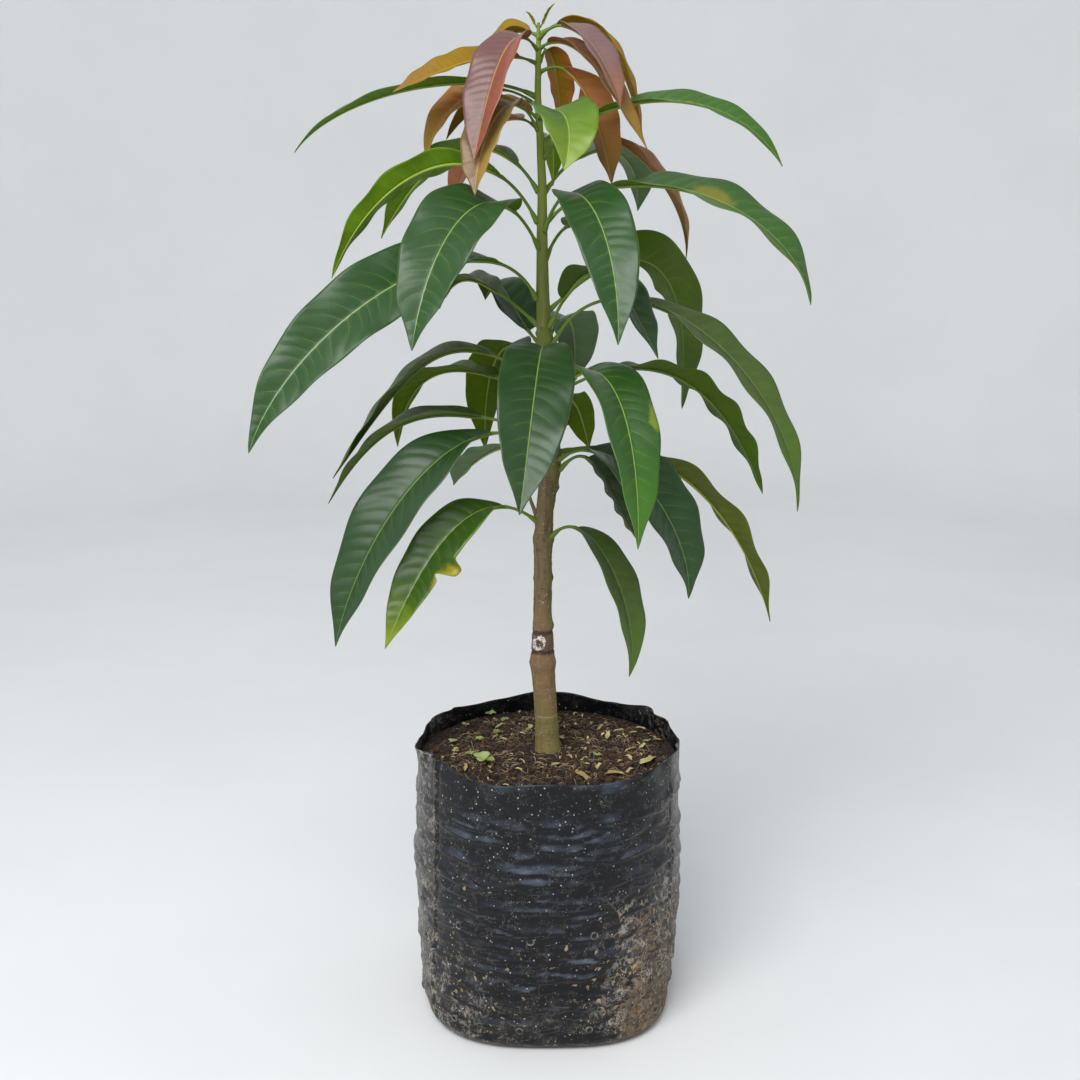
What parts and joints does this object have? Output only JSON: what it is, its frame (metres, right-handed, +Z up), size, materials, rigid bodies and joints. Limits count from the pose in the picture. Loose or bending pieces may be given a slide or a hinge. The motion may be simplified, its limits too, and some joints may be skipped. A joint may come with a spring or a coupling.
{
  "type": "mango tree sapling in a nursery grow bag",
  "caption": "Young mango tree with one straight stem and whorls of long arching leaves, bronze at the top, standing in a soil-filled black poly grow bag.",
  "frame": {"origin": "centre of the grow bag's flat underside", "axes": "+Z up along the trunk, -Y towards the front view, +X to the right of it"},
  "size_m": [0.4726, 0.3219, 0.9244],
  "materials": {
    "bag_film": "satin",
    "soil": "matte",
    "bark": "matte",
    "leaf_green": "satin",
    "leaf_fresh": "satin",
    "leaf_bronze": "satin",
    "leaf_pink": "satin"
  },
  "bodies": {
    "root": {"grow_bag": "bag_film", "potting_soil": "soil", "trunk": "bark", "spur": "bark", "leaf_low_left": "leaf_green", "leaf_low_right": "leaf_green", "leaf_first_right_inner": "leaf_green", "leaf_first_right_broad": "leaf_green", "leaf_first_right_long": "leaf_green", "leaf_first_left_broad": "leaf_green", "leaf_first_left_narrow": "leaf_green", "leaf_first_back_left": "leaf_green", "leaf_first_back": "leaf_green", "leaf_second_front": "leaf_green", "leaf_second_right_front": "leaf_green", "leaf_second_right": "leaf_green", "leaf_second_left": "leaf_green", "leaf_second_left_back": "leaf_green", "leaf_second_back_left": "leaf_green", "leaf_second_back_right": "leaf_green", "leaf_second_back": "leaf_green", "leaf_third_right_long": "leaf_green", "leaf_third_right_broad": "leaf_green", "leaf_third_right_inner": "leaf_green", "leaf_third_back_right": "leaf_green", "leaf_third_back_left": "leaf_green", "leaf_third_left_inner": "leaf_green", "leaf_third_left_long": "leaf_green", "leaf_fourth_back_right": "leaf_green", "leaf_fourth_left_front": "leaf_green", "leaf_fourth_front": "leaf_green", "leaf_fourth_left": "leaf_green", "leaf_fourth_right_long": "leaf_green", "leaf_fourth_left_back": "leaf_green", "leaf_fourth_right_back": "leaf_green", "leaf_fifth_left": "leaf_green", "leaf_fifth_right": "leaf_green", "leaf_fifth_front": "leaf_fresh", "leaf_fifth_back": "leaf_fresh", "leaf_bronze_right_long": "leaf_bronze", "leaf_bronze_left": "leaf_bronze", "leaf_bronze_right": "leaf_bronze", "leaf_olive_left": "leaf_bronze", "leaf_olive_top": "leaf_bronze", "leaf_gold_left": "leaf_bronze", "leaf_gold_right": "leaf_bronze", "leaf_orange_left": "leaf_bronze", "leaf_pink_left": "leaf_pink", "leaf_pink_right": "leaf_pink", "leaf_salmon_left": "leaf_pink", "leaf_salmon_inner": "leaf_pink", "leaf_salmon_right": "leaf_pink", "leaflet_left": "leaf_pink", "leaflet_right": "leaf_pink"}
  },
  "joints": []
}
